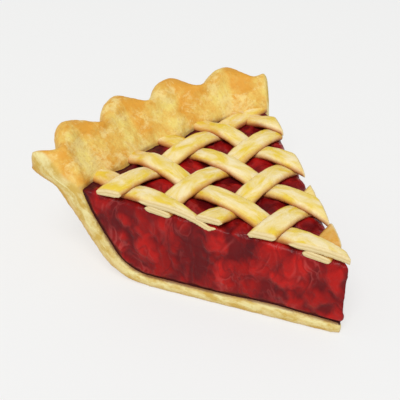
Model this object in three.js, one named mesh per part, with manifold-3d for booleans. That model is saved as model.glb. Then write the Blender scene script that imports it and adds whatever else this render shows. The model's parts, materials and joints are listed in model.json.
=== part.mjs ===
// A cut slice of deep-dish cherry pie: a fluted short-crust shell, its cherry filling and the woven
// lattice of dough strips on top. Millimetres, +Z up. The slice points along -Y (its tip) and its
// fluted rim is at +Y; the origin is at the centre of the slice's box, on the surface it stands on.

import * as THREE from "three";
import { mergeVertices } from "three/addons/utils/BufferGeometryUtils.js";
import Module from "manifold-3d";

const wasm = await Module();
wasm.setup();

// ---- Driving dimensions ------------------------------------------------------------------------

const SLICE_ANGLE = 57.65; // degrees between the two knife cuts, about a sixth of the pie
const GAP = 0.3; // clearance between pieces that touch
const CEILING = 75; // height of the room above the slice that the strips are cut to

// Crust shell: the middle line of its section, and how thick it is either side of that line
const BASE_THICKNESS = 5.3;
const BASE_HUMP = 1.0; // the base swells a little under the filling
const BASE_HUMP_RADIUS = 28; // where round the pie's axis that swelling stands
const BASE_HUMP_WIDTH = 16;
const CORNER_RADIUS = 90.5; // where the lines of the base and the wall would meet
const CORNER_BEND = 21.5; // the bend that rounds that corner
const WALL_HALF = 3.6; // half the wall's thickness
const RIM_HALF = 4.3; // half the rim's thickness, and the round of its top edge
const THICKENS_FROM = 20; // height from which the wall thickens towards the rim
const RIM_RADIUS = 118.7; // from the pie's axis to the middle of the rim
const RIM_HEIGHT = 51.5; // height of that middle
const LEDGE = 1.3; // how far the wall swells inward where the filling meets it
const LEDGE_HEIGHT = 40;
const LEDGE_WIDTH = 6;

// Flutes pressed round the rim
const FLUTE_COUNT = 27; // round the whole pie
const FLUTE_FIRST = 9; // degrees from the left cut to the first outward lobe
const FLUTE_DEPTH = 4.4;
const FLUTE_BREADTH = 0.5; // twice-per-flute part that broadens the lobes
const FLUTE_LEAN = 0.6; // twice-per-flute part that leans them to one side
const FLUTE_RISE = 1.3; // how much higher the lobes stand than the hollows
const FLUTE_FROM = 38; // height at which the flutes begin
const FLUTE_FULL = 47; // height at which they reach their full depth
const CUT_FLARE = 4.5; // how far the left cut's edge was pulled outward
const CUT_FLARE_WIDTH = 1.6; // degrees

// Cherry filling
const FILLING_TIP_HEIGHT = 32.9;
const FILLING_SLOPE = 0.0695; // rise for each millimetre away from the tip
const FILLING_LIP = 0.8; // how far it climbs the crust at its edge
const FILLING_LIP_START = 98;
const FILLING_LIP_MIDDLE = 102;
const FILLING_LIP_END = 106;

// Lattice of dough strips
const STRIPS_EACH_WAY = 5;
const STRIP_SPACING = 19.43;
const STRIP_WIDTH = 10.2;
const STRIP_THICKNESS = 3.3;
const STRIP_EDGE = 1.4; // round of a strip's edges
const STRIP_SINK = 3.2; // how deep a strip lies in the filling where it passes under another
const STRIP_LIFT = 3.8; // how far a strip rises to pass over another
const STRIP_LEVEL = 4.6; // half the stretch that stays level at each crossing
const LATTICE_TURN = 10; // degrees from the slice's middle line to the long strips
const FIRST_LONG = 21.08; // distance of the first long strip from the tip, to the left
const FIRST_CROSS = 89.05; // distance of the first cross strip from the tip

// Fineness of the faceted surfaces
const FLUTE_STEPS = 7;
const BEND_STEPS = 4;
const STEPS_EACH_CROSSING = 4;
const WALL_SHARES = [0.45, 0.75, 0.85, 0.925, 1]; // closer together where the flutes begin
const MERGE_WITHIN = 1e-3;

// ---- Materials ---------------------------------------------------------------------------------

const crustDough = new THREE.MeshStandardMaterial({
  name: "baked_crust",
  color: 0xe4b862,
  roughness: 0.75,
  metalness: 0,
});
const stripDough = new THREE.MeshStandardMaterial({
  name: "baked_strip",
  color: 0xf0d684,
  roughness: 0.7,
  metalness: 0,
});
const cherryGel = new THREE.MeshStandardMaterial({
  name: "cherry_gel",
  color: 0x8c1420,
  roughness: 0.25,
  metalness: 0,
});

// ---- Solids ------------------------------------------------------------------------------------

const { degToRad, lerp, smoothstep } = THREE.MathUtils;
const halfSlice = degToRad(SLICE_ANGLE / 2);
const leftCut = Math.PI / 2 + halfSlice; // the left cut's direction, from +X round to +Y

// A closed geometry as a solid that can be cut: shared corners merged, flat triangles dropped.
function solid(geometry) {
  const bare = geometry.clone();
  bare.deleteAttribute("normal");
  bare.deleteAttribute("uv");
  const merged = mergeVertices(bare, MERGE_WITHIN);
  const corners = merged.index.array;
  const triangles = [];
  for (let i = 0; i < corners.length; i += 3) {
    const [a, b, c] = corners.subarray(i, i + 3);
    if (a !== b && b !== c && c !== a) {
      triangles.push(a, b, c);
    }
  }
  const mesh = new wasm.Mesh({
    numProp: 3,
    vertProperties: new Float32Array(merged.attributes.position.array),
    triVerts: new Uint32Array(triangles),
  });
  return new wasm.Manifold(mesh);
}

function pieceMesh(name, body, material) {
  const { numProp, vertProperties, triVerts } = body.getMesh();
  const geometry = new THREE.BufferGeometry();
  geometry.setAttribute("position", new THREE.BufferAttribute(vertProperties, numProp));
  geometry.setIndex(new THREE.BufferAttribute(triVerts, 1));
  geometry.computeVertexNormals();
  const piece = new THREE.Mesh(geometry, material);
  piece.name = name;
  return piece;
}

// Moves each vertex of a geometry by a function that changes a Vector3 in place.
function reshape(geometry, move) {
  const position = geometry.attributes.position;
  const point = new THREE.Vector3();
  for (let i = 0; i < position.count; i += 1) {
    move(point.fromBufferAttribute(position, i));
    position.setXYZ(i, point.x, point.y, point.z);
  }
  return geometry;
}

// Spins a section, given as (radius, height) points that start and end on the axis, about Z. One
// row of its corners falls just past the left cut, so that the cut shows the flutes' true shape.
function spun(section) {
  const past = 1e-3;
  const start = leftCut + Math.PI / 2 + past;
  const lathe = new THREE.LatheGeometry(section, FLUTE_COUNT * FLUTE_STEPS, start);
  return lathe.rotateX(Math.PI / 2);
}

// ---- Section of the crust ----------------------------------------------------------------------

const baseMiddle = BASE_THICKNESS / 2;
const wallLean = Math.atan2(RIM_HEIGHT - baseMiddle, RIM_RADIUS - CORNER_RADIUS);
const bendStart = CORNER_RADIUS - CORNER_BEND * Math.tan(wallLean / 2);

const bump = (x, centre, width) => Math.exp(-(((x - centre) / width) ** 2));
const wallRadius = (height) => CORNER_RADIUS + (height - baseMiddle) / Math.tan(wallLean);

// Stations along the section's middle line, from the axis out along the base and up the wall. Each
// has its middle, the direction to the inner side, and the thickness to the inner and outer side.
function sectionStations() {
  const stations = [];
  const station = (radius, height, turn) => {
    const onWall = lerp(WALL_HALF, RIM_HALF, smoothstep(height, THICKENS_FROM, LEDGE_HEIGHT));
    const even = lerp(baseMiddle, onWall, turn / wallLean);
    stations.push({
      middle: new THREE.Vector2(radius, height),
      inward: new THREE.Vector2(-Math.sin(turn), Math.cos(turn)),
      outer: even,
      inner:
        even +
        BASE_HUMP * bump(radius, BASE_HUMP_RADIUS, BASE_HUMP_WIDTH) +
        LEDGE * bump(height, LEDGE_HEIGHT, LEDGE_WIDTH),
    });
  };
  for (let radius = 0; radius < bendStart - 1; radius += BASE_HUMP_WIDTH / 2) {
    station(radius, baseMiddle, 0);
  }
  for (let step = 0; step <= BEND_STEPS; step += 1) {
    const turn = (wallLean * step) / BEND_STEPS;
    const radius = bendStart + CORNER_BEND * Math.sin(turn);
    station(radius, baseMiddle + CORNER_BEND * (1 - Math.cos(turn)), turn);
  }
  const bendTop = stations[stations.length - 1].middle.y;
  for (const share of WALL_SHARES) {
    const height = lerp(bendTop, RIM_HEIGHT, share);
    station(wallRadius(height), height, wallLean);
  }
  return stations;
}

const stations = sectionStations();
const innerPoint = (at, gap = 0) =>
  at.middle.clone().addScaledVector(at.inward, at.inner + gap);
const outerPoint = (at) => at.middle.clone().addScaledVector(at.inward, -at.outer);

// The crust's outer side and its rolled top edge, closed straight across from the rim to the axis.
function outerSection() {
  const points = [new THREE.Vector2(0, 0)];
  points.push(...stations.slice(1).map(outerPoint));
  const top = stations[stations.length - 1];
  for (let step = 1; step < 2 * BEND_STEPS; step += 1) {
    const turn = wallLean - Math.PI / 2 + (Math.PI * step) / (2 * BEND_STEPS);
    const around = new THREE.Vector2(Math.cos(turn), Math.sin(turn));
    points.push(top.middle.clone().addScaledVector(around, top.outer));
  }
  const rimInside = innerPoint(top);
  points.push(rimInside, new THREE.Vector2(0, rimInside.y));
  return points;
}

// The room inside the crust, clear of it by a gap, up to a ceiling above the rim.
function roomSection(gap) {
  const points = stations.map((at) => innerPoint(at, gap));
  points[0].x = 0;
  const rimInside = points[points.length - 1];
  points.push(new THREE.Vector2(rimInside.x, CEILING));
  points.push(new THREE.Vector2(0, CEILING));
  return points;
}

// ---- Flutes ------------------------------------------------------------------------------------

const fluteTurn = (fromCut) => FLUTE_COUNT * (fromCut - degToRad(FLUTE_FIRST));

function fluteShift(fromCut) {
  const turn = fluteTurn(fromCut);
  return (
    FLUTE_DEPTH * Math.cos(turn) -
    FLUTE_BREADTH * Math.cos(2 * turn) +
    FLUTE_LEAN * Math.sin(2 * turn) +
    CUT_FLARE * bump(fromCut, 0, degToRad(CUT_FLARE_WIDTH))
  );
}

// The flutes push the rim in and out, and the dough keeps its thickness square to the wave, so it
// measures more along the radius where the wave runs steeply.
function flute(point) {
  const share = smoothstep(point.z, FLUTE_FROM, FLUTE_FULL);
  if (share === 0) {
    return;
  }
  const radius = Math.hypot(point.x, point.y);
  const fromCut = leftCut - Math.atan2(point.y, point.x);
  const middle = wallRadius(Math.min(point.z, RIM_HEIGHT));
  const sample = 1e-3;
  const slope = (fluteShift(fromCut + sample) - fluteShift(fromCut - sample)) / (2 * sample);
  const spread = 1 + share * (Math.hypot(1, slope / middle) - 1);
  const moved = middle + share * fluteShift(fromCut) + (radius - middle) * spread;
  point.x *= moved / radius;
  point.y *= moved / radius;
  point.z += share * FLUTE_RISE * Math.cos(fluteTurn(fromCut));
}

// ---- Pieces ------------------------------------------------------------------------------------

// The wedge between the two knife cuts, with its edge on the pie's axis and opening towards +Y.
function knifeWedge() {
  const reach = 200;
  const side = reach * Math.tan(halfSlice);
  const plan = new THREE.Shape([
    new THREE.Vector2(0, 0),
    new THREE.Vector2(side, reach),
    new THREE.Vector2(-side, reach),
  ]);
  const below = 10;
  const depth = CEILING + 2 * below;
  const wedge = new THREE.ExtrudeGeometry(plan, { depth, bevelEnabled: false });
  return solid(wedge.translate(0, 0, -below));
}

const wedge = knifeWedge();

const roomInside = (gap) => solid(reshape(spun(roomSection(gap)), flute));
const crust = solid(reshape(spun(outerSection()), flute)).subtract(roomInside(0)).intersect(wedge);
const room = roomInside(GAP).intersect(wedge);

const fillingTop = (radius) =>
  FILLING_TIP_HEIGHT +
  FILLING_SLOPE * radius +
  FILLING_LIP * smoothstep(radius, FILLING_LIP_START, FILLING_LIP_END);

// Everything below the filling's gently dished top.
function belowFillingTop() {
  const below = -10;
  const radii = [RIM_RADIUS, FILLING_LIP_END, FILLING_LIP_MIDDLE, FILLING_LIP_START, 0];
  const top = radii.map((radius) => new THREE.Vector2(radius, fillingTop(radius)));
  const floor = [new THREE.Vector2(0, below), new THREE.Vector2(RIM_RADIUS, below)];
  return solid(spun([...floor, ...top]));
}

const wholeFilling = belowFillingTop().intersect(room);

// A strip's height above the filling: level over the strips it crosses, then down under the next.
// `over` is a place along the strip where it lies on top.
function stripLift(along, over) {
  const pair = 2 * STRIP_SPACING;
  const away = Math.abs(along - over - pair * Math.round((along - over) / pair));
  return STRIP_LIFT * (1 - smoothstep(away, STRIP_LEVEL, STRIP_SPACING - STRIP_LEVEL));
}

const longWay = new THREE.Vector2(0, 1).rotateAround(new THREE.Vector2(), degToRad(LATTICE_TURN));
const crossWay = new THREE.Vector2(-longWay.y, longWay.x);

function stripOutline() {
  const half = STRIP_WIDTH / 2 - STRIP_EDGE;
  const high = STRIP_THICKNESS - STRIP_EDGE;
  const outline = new THREE.Shape();
  outline.absarc(half, high, STRIP_EDGE, 0, Math.PI / 2);
  outline.absarc(-half, high, STRIP_EDGE, Math.PI / 2, Math.PI);
  outline.absarc(-half, STRIP_EDGE, STRIP_EDGE, Math.PI, 1.5 * Math.PI);
  outline.absarc(half, STRIP_EDGE, STRIP_EDGE, 1.5 * Math.PI, 2 * Math.PI);
  return outline;
}

// The plain outline that a strip presses into the filling.
function seatOutline() {
  const half = STRIP_WIDTH / 2 + GAP;
  const low = -GAP;
  const high = STRIP_THICKNESS + GAP;
  return new THREE.Shape([
    new THREE.Vector2(-half, low),
    new THREE.Vector2(half, low),
    new THREE.Vector2(half, high),
    new THREE.Vector2(-half, high),
  ]);
}

// A long band that follows the weave: it runs along `way`, `offset` towards `side` from the tip, and
// is on top at the place `over`.
function wovenBand({ way, side, offset, over }, outline) {
  const reach = 6 * STRIP_SPACING; // either side of the place `over`
  const steps = 2 * 6 * STEPS_EACH_CROSSING;
  const settings = { depth: 2 * reach, steps, bevelEnabled: false, curveSegments: 1 };
  const band = new THREE.ExtrudeGeometry(outline, settings);
  reshape(band, (point) => {
    const along = over - reach + point.z;
    const across = offset + point.x;
    const height = stripLift(along, over) - STRIP_SINK + point.y;
    point.x = way.x * along + side.x * across;
    point.y = way.y * along + side.y * across;
    point.z = fillingTop(Math.hypot(point.x, point.y)) + height;
  });
  return solid(band);
}

const longPlace = (index) => FIRST_LONG - STRIP_SPACING * index;
const crossPlace = (index) => FIRST_CROSS - STRIP_SPACING * index;

// Long strip 0 passes under cross strip 0 and over cross strip 1, and so on by turns.
const longRuns = [];
const crossRuns = [];
for (let index = 0; index < STRIPS_EACH_WAY; index += 1) {
  longRuns.push({
    way: longWay,
    side: crossWay,
    offset: longPlace(index),
    over: crossPlace((index + 1) % 2),
  });
  crossRuns.push({
    way: crossWay,
    side: longWay.clone().negate(),
    offset: -crossPlace(index),
    over: longPlace(index % 2),
  });
}

const latticeStrip = (run) => wovenBand(run, stripOutline()).intersect(room);

// The strips lie sunk in the filling's top. Crumbs that they cut off it are left out.
function seatedFilling() {
  const runs = [...longRuns, ...crossRuns];
  const cut = (body, run) => body.subtract(wovenBand(run, seatOutline()));
  const bodies = runs.reduce(cut, wholeFilling).decompose();
  return bodies.sort((one, other) => other.volume() - one.volume())[0];
}

const filling = seatedFilling();

// ---- The slice ---------------------------------------------------------------------------------

const slice = new THREE.Group();
slice.add(pieceMesh("crust", crust, crustDough));
slice.add(pieceMesh("filling", filling, cherryGel));
longRuns.forEach((run, index) => {
  slice.add(pieceMesh(`long_strip_${index + 1}`, latticeStrip(run), stripDough));
});
crossRuns.forEach((run, index) => {
  slice.add(pieceMesh(`cross_strip_${index + 1}`, latticeStrip(run), stripDough));
});

// The frame's origin: the middle of the box round the slice, at its underside.
const box = new THREE.Box3().setFromObject(slice);
const centre = box.getCenter(new THREE.Vector3());
slice.position.set(-centre.x, -centre.y, -box.min.z);

export default slice;
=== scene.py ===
# %% [markdown]
# # A slice of cherry pie
# A slice of deep-dish pie is a shell of short crust with a fluted rim, a thick block of cherries
# set in gel, and a lattice of dough strips woven over the top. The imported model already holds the
# slice at its real size. Here each piece is rebuilt as a fine mesh in the same place, given a baked
# or a glossy finish, and set on a pale floor in soft light.

# %% Load the frame
import json
import math
import random

import bmesh
import bpy
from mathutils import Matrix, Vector, kdtree, noise


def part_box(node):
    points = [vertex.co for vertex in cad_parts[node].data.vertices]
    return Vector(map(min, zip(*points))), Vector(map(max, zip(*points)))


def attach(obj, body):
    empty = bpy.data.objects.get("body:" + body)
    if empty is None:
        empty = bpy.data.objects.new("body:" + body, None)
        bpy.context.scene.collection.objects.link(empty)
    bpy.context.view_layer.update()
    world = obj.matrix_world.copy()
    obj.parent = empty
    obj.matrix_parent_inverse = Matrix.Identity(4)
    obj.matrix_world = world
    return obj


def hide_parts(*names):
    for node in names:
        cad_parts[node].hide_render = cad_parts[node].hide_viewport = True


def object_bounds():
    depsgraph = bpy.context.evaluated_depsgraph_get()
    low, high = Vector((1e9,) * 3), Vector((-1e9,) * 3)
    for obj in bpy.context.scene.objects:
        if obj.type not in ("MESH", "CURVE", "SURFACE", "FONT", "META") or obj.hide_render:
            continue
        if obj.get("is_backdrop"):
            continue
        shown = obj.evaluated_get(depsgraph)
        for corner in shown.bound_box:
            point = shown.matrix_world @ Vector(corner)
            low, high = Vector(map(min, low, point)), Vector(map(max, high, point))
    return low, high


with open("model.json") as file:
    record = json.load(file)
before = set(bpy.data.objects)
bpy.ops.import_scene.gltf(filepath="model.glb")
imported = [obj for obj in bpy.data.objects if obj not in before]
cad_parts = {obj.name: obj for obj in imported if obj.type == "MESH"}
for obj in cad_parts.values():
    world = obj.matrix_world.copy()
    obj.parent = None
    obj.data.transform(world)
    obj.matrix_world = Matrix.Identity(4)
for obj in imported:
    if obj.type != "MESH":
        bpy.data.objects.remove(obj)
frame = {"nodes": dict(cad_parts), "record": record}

cad_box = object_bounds()
print("nodes in the frame:", ", ".join(sorted(frame["nodes"])))

# %% [markdown]
# ## Where the slice lies
# A pie is round, so every piece is easiest to describe round the pie's own axis, in millimetres,
# with the tip of the slice at the origin and the rim towards +Y. The mount on the underside lies on
# the slice's middle line, and the crust's box begins at the tip, so the two give the tip's place.

# %% Place of the tip, and the two knife cuts
MM = 0.001
tip = Vector((frame["record"]["mounts"][0]["pos_m"][0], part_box("crust")[0][1], 0.0))
SLICE_ANGLE = math.radians(57.65)
left_cut = math.pi / 2 + SLICE_ANGLE / 2
right_cut = math.pi / 2 - SLICE_ANGLE / 2
into_left = Vector((math.sin(left_cut), -math.cos(left_cut), 0))  # from each cut into the slice
into_right = Vector((-math.sin(right_cut), math.cos(right_cut), 0))
print("tip of the slice, in mm:", [round(value / MM, 2) for value in tip])

# %% [markdown]
# ## Soft steps, grain and places
# Dough and gel change softly, so nearly every formula here needs a soft step, a soft hump or a
# smooth noise. Many also ask how far a point is from the pie's axis, how far round from the left
# cut, and how deep behind the knife cuts. Short names keep the formulas readable.

# %% Soft steps, grain and places
NOISE_BLOB = 1.6  # how far the noise runs across one of its blobs
SEED_SHIFT = 2.3


def blend(low, high, share):
    return low + (high - low) * share


def ramp(value, start, end):
    """A soft step from 0 at `start` to 1 at `end`."""
    share = min(max((value - start) / (end - start), 0.0), 1.0)
    return share * share * (3 - 2 * share)


def bump(value, centre, width):
    """A soft hump that is 1 at its centre."""
    return math.exp(-(((value - centre) / width) ** 2))


def grain(point, size, seed=0.0):
    """Smooth noise from about -1 to 1, in blobs that are `size` millimetres across."""
    return noise.noise(point * (NOISE_BLOB / size) + Vector((seed, SEED_SHIFT * seed, -seed)))


def from_axis(point):
    return math.hypot(point.x, point.y)


def round_from_cut(point):
    """The angle of a point, clockwise from the left cut."""
    return left_cut - math.atan2(point.y, point.x)


def behind_cuts(point):
    """How far a point lies behind the nearer knife cut. Negative is outside the slice."""
    return min(point.dot(into_left), point.dot(into_right))


print(f"the slice is {2 * behind_cuts(Vector((0, 100, 0))):.1f} mm wide, 100 mm from its tip")

# %% [markdown]
# ## One even skin
# Dough and gel have no hard corners. A subdivision surface would round a shape, but it keeps its
# uneven faces. A voxel remesh gives one even skin of small squares, and some smoothing takes off
# its steps. It may leave specks beside the skin, which are dropped. A small cube is the trial.

# %% One even skin
ALL_AXES = {"use_axis_x": True, "use_axis_y": True, "use_axis_z": True}


def smoothed(bm, verts, passes):
    for _ in range(passes):
        bmesh.ops.smooth_vert(bm, verts=verts, factor=0.5, **ALL_AXES)


def placed(name, data):
    """A new object in the scene that holds a mesh, a lamp or a camera."""
    item = bpy.data.objects.new(name, data)
    bpy.context.scene.collection.objects.link(item)
    return item


def drop_specks(bm):
    """Keeps the largest connected part only."""
    waiting, parts = set(bm.verts), []
    while waiting:
        part, growing = [], [waiting.pop()]
        while growing:
            vert = growing.pop()
            part.append(vert)
            near = {edge.other_vert(vert) for edge in vert.link_edges} & waiting
            waiting -= near
            growing.extend(near)
        parts.append(part)
    parts.sort(key=len)
    specks = [vert for part in parts[:-1] for vert in part]
    bmesh.ops.delete(bm, geom=specks, context="VERTS")


def remeshed(bm, voxel, smoothing=2):
    """The same solid as one even skin, with everything in it joined and slightly rounded."""
    rough = placed("rough", bpy.data.meshes.new("rough"))
    bm.to_mesh(rough.data)
    bm.free()
    skin = rough.modifiers.new("skin", "REMESH")
    skin.mode = "VOXEL"
    skin.voxel_size = voxel
    even = rough.evaluated_get(bpy.context.evaluated_depsgraph_get())
    bm = bmesh.new()
    bm.from_mesh(even.to_mesh())
    even.to_mesh_clear()
    bpy.data.meshes.remove(rough.data)
    drop_specks(bm)
    smoothed(bm, bm.verts, smoothing)
    bm.normal_update()
    print(f"a skin of {voxel} mm squares with {len(bm.verts)} vertices")
    return bm


def new_marks(bm, names):
    """Numbers on the vertices, by name, that a material can read: how browned, how wet, and so on."""
    return {name: bm.verts.layers.float.new(name) for name in names}


def push_all(bm, moves):
    for vert, move in zip(bm.verts, moves):
        vert.co += move


trial = bmesh.new()
bmesh.ops.create_cube(trial, size=10)
trial = remeshed(trial, voxel=1.0)
trial.free()

# %% [markdown]
# ## From the pie's axis to the slice's place
# Each piece ends the same way: its mesh goes from millimetres round the pie's axis to metres in the
# frame, while the object itself stays at the origin.

# %% From the pie's axis to the slice's place
def finished_piece(name, bm, material, node):
    bmesh.ops.scale(bm, vec=(MM, MM, MM), verts=bm.verts)
    bmesh.ops.translate(bm, vec=tip, verts=bm.verts)
    for face in bm.faces:
        face.smooth = True
    piece = placed(name, bpy.data.meshes.new(name))
    bm.to_mesh(piece.data)
    bm.free()
    piece.data.materials.append(material)
    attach(piece, "root")
    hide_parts(node)
    print(f"{name}: {len(piece.data.vertices)} vertices, {len(piece.data.polygons)} faces")


print(f"a piece is scaled by {MM} and moved by {tip.length:.4f} m")

# %% [markdown]
# ## Small helpers for finishes
# Colours are written as the hex values a designer would pick, and one function turns them into the
# linear numbers that a shader needs. Another adds a node with its settings and its links. Patterns
# are sized in millimetres: the pieces lie in metres, so a scale is one over the size in metres.

# %% Helpers for finishes
def colour(hex_value):
    """An sRGB hex colour as linear RGBA."""
    channels = [int(hex_value[i : i + 2], 16) / 255 for i in (1, 3, 5)]
    linear = [c / 12.92 if c <= 0.04045 else ((c + 0.055) / 1.055) ** 2.4 for c in channels]
    return (*linear, 1.0)


def add(tree, kind, inputs, output=None, **settings):
    """Adds a node. Inputs, by name or by number, take values or outputs. Gives one output back."""
    node = tree.nodes.new(kind)
    for name, value in settings.items():
        setattr(node, name, value)
    for key, value in inputs.items():
        open_inputs = [socket for socket in node.inputs if socket.enabled]
        by_name = [socket for socket in open_inputs if socket.name == key]
        socket = by_name[0] if by_name else open_inputs[key]
        if isinstance(value, bpy.types.NodeSocket):
            tree.links.new(value, socket)
        else:
            socket.default_value = value
    open_outputs = [socket for socket in node.outputs if socket.enabled]
    return node.outputs[output] if output else (open_outputs or [None])[0]


def new_tree(name):
    """A material with an empty node tree."""
    material = bpy.data.materials.new(name)
    material.use_nodes = True
    material.node_tree.nodes.clear()
    return material, material.node_tree


print(f"half grey on a screen is {colour('#808080')[0]:.2f} in linear light")

# %% [markdown]
# ## The crust: its section
# The shell of short crust is one sheet of dough: a base, a bend and a wall that leans outwards and
# ends in a rolled lip. It could be lathed from a drawn profile. Here a flat grid is bent into the
# section, because a grid also gives the two cut faces of the slice when it is spun.

# %% Section of the shell, in millimetres
BASE_THICKNESS = 5.3
BASE_HUMP, HUMP_RADIUS, HUMP_WIDTH = 1.0, 28, 16
CORNER_RADIUS, CORNER_BEND = 90.5, 21.5  # where the base and the wall would meet, and their bend
WALL_HALF, RIM_HALF, THICKENS_FROM = 3.6, 4.3, 20  # half the thickness of the wall and of the rim
RIM_RADIUS, RIM_HEIGHT = 118.7, 51.5
LEDGE, LEDGE_HEIGHT, LEDGE_WIDTH = 1.3, 40, 6

base_middle = BASE_THICKNESS / 2
wall_lean = math.atan2(RIM_HEIGHT - base_middle, RIM_RADIUS - CORNER_RADIUS)
bend_start = CORNER_RADIUS - CORNER_BEND * math.tan(wall_lean / 2)
bend_end = bend_start + CORNER_BEND * wall_lean
bend_top = Vector((bend_start + CORNER_BEND * math.sin(wall_lean),
                   base_middle + CORNER_BEND * (1 - math.cos(wall_lean))))
up_wall = Vector((math.cos(wall_lean), math.sin(wall_lean)))
lip_start = bend_end + (RIM_HEIGHT - bend_top.y) / up_wall.y


def shell_point(run, across):
    """Radius and height of a point of the shell: `run` goes along it from the pie's axis, and
    `across` from -1 on its outer side to 1 on its inner side."""
    turn = wall_lean * min(max((run - bend_start) / (bend_end - bend_start), 0.0), 1.0)
    if run < bend_start:
        middle = Vector((run, base_middle))
    elif run < bend_end:
        middle = Vector((bend_start + CORNER_BEND * math.sin(turn),
                         base_middle + CORNER_BEND * (1 - math.cos(turn))))
    else:
        middle = bend_top + up_wall * (run - bend_end)
    half = blend(WALL_HALF, RIM_HALF, ramp(middle.y, THICKENS_FROM, LEDGE_HEIGHT))
    half = blend(base_middle, half, turn / wall_lean)
    if across > 0:
        half += BASE_HUMP * bump(middle.x, HUMP_RADIUS, HUMP_WIDTH)
        half += LEDGE * bump(middle.y, LEDGE_HEIGHT, LEDGE_WIDTH)
    if run > lip_start:
        half *= math.sqrt(max(1 - ((run - lip_start) / RIM_HALF) ** 2, 0.0))
    return middle + Vector((-math.sin(turn), math.cos(turn))) * (half * across)


print(f"the shell measures {lip_start + RIM_HALF:.1f} mm along its section")

# %% [markdown]
# ## The crust: its flutes
# The baker pinches the rim into waves, so it runs in and out as it goes round, and a little up and
# down. A displacement texture could do it, but a formula keeps every wave where the frame has it.
# The inner side of the wall follows only part of the wave, with a crease where the finger pressed.
# The knife dragged the rim outwards where the left cut ends it.

# %% Flutes round the rim
FLUTE_COUNT, FLUTE_FIRST = 27, math.radians(9)  # round the whole pie; from the left cut
FLUTE_DEPTH, FLUTE_BREADTH, FLUTE_LEAN, FLUTE_RISE = 4.4, 0.5, 0.6, 1.3
INNER_SHARE = 0.5  # the inner side follows this much of the wave
CREASE_MEAN, CREASE_DEPTH, CREASE_SOFTNESS = 1.3, 2, 0.01
CUT_FLARE, CUT_FLARE_WIDTH = 7.8, math.radians(1.7)


def flute_turn(from_cut):
    return FLUTE_COUNT * (from_cut - FLUTE_FIRST)


def flute_shift(from_cut):
    """How far the rim is pushed out, at an angle clockwise from the left cut."""
    turn = flute_turn(from_cut)
    wave = FLUTE_DEPTH * math.cos(turn) - FLUTE_BREADTH * math.cos(2 * turn)
    return wave + FLUTE_LEAN * math.sin(2 * turn) + CUT_FLARE * bump(from_cut, 0, CUT_FLARE_WIDTH)


def crease_shift(from_cut):
    """The same for the inner side, where the finger left a crease in the middle of each lobe."""
    half_turn = math.sin(flute_turn(from_cut) / 2)
    crease = CREASE_MEAN - CREASE_DEPTH * math.sqrt(half_turn**2 + CREASE_SOFTNESS)
    return INNER_SHARE * FLUTE_DEPTH * crease


print(f"a flute every {2 * math.pi * RIM_RADIUS / FLUTE_COUNT:.1f} mm round the rim")

# %% [markdown]
# ## The crust: where the wall slumped
# Above the filling nothing holds the soft wall in the oven, so here and there it slumps in over the
# fruit. Each slump is a soft hump in the formula, so the fruit and the stain can follow it too.

# %% Slumps of the wall
# Degrees from the left cut, millimetres inwards and degrees wide. The last one leans out instead.
SLUMPS = ((14, 4.5, 7), (32, 4.3, 5.5), (24, 1.5, 5), (56, -2.0, 7))
SLUMP_FROM, SLUMP_FULL, SLUMP_FADES, SLUMP_END = 22, 38, 39, 51  # heights


def slump(height, from_cut):
    inward = sum(size * bump(math.degrees(from_cut), at, width) for at, size, width in SLUMPS)
    fade = ramp(height, SLUMP_FROM, SLUMP_FULL) * (1 - ramp(height, SLUMP_FADES, SLUMP_END))
    return inward * fade


print(f"the wall slumps in by up to {max(size for _, size, _ in SLUMPS)} mm")

# %% [markdown]
# ## The crust: bending the plain shell
# One function moves any point of the plain shell to its place in the fluted one. The outer side
# takes the full wave, the inner side its share of it, the creases and the slumps.

# %% From the plain shell to the fluted one
FLUTE_FROM, FLUTE_FULL = 38, 47  # heights between which the flutes begin
OUTER_FROM, OUTER_FULL = -4.3, 0.8  # across the wall, from its middle
FLARE_OUTSIDE, FLARE_FADES, FLARE_END = 3.2, 43, 52  # the outer side flares more, below the lip


def wall_radius(height):
    return CORNER_RADIUS + (height - base_middle) / math.tan(wall_lean)


def fluted(point):
    """Where the flutes and the slumps move a point of the plain shell."""
    radius = from_axis(point)
    if radius < bend_start:
        return point
    share = ramp(point.z, FLUTE_FROM, FLUTE_FULL)
    from_cut = round_from_cut(point)
    outer = ramp(radius - wall_radius(min(point.z, RIM_HEIGHT)), OUTER_FROM, OUTER_FULL)
    at_cut = bump(from_cut, 0, CUT_FLARE_WIDTH)
    shift = blend(crease_shift(from_cut), flute_shift(from_cut), max(outer, at_cut))
    flare = FLARE_OUTSIDE * at_cut * outer * (1 - ramp(point.z, FLARE_FADES, FLARE_END))
    moved = radius + share * (shift + flare) - (1 - outer) * slump(point.z, from_cut)
    lift = share * FLUTE_RISE * math.cos(flute_turn(from_cut))
    return Vector((point.x * moved / radius, point.y * moved / radius, point.z + lift))


rim_point = Vector((0, RIM_RADIUS, RIM_HEIGHT))
print(f"the rim moves by {(fluted(rim_point) - rim_point).length:.1f} mm at the middle of the slice")

# %% [markdown]
# ## The crust: spun through the slice
# The section is spun anticlockwise from the right cut to the left one. Spinning faces, not edges,
# leaves a closed solid with a cut face at each end. Its normals may come out inwards, so they are
# worked out again. Then it is fluted and turned into an even skin.

# %% Shape of the crust
LIP_SHARE = 0.1  # the last tenth of the grid is bent round the lip
NEARLY_ALL = 0.999  # a lip that closed to a point would leave faces with no area


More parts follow.
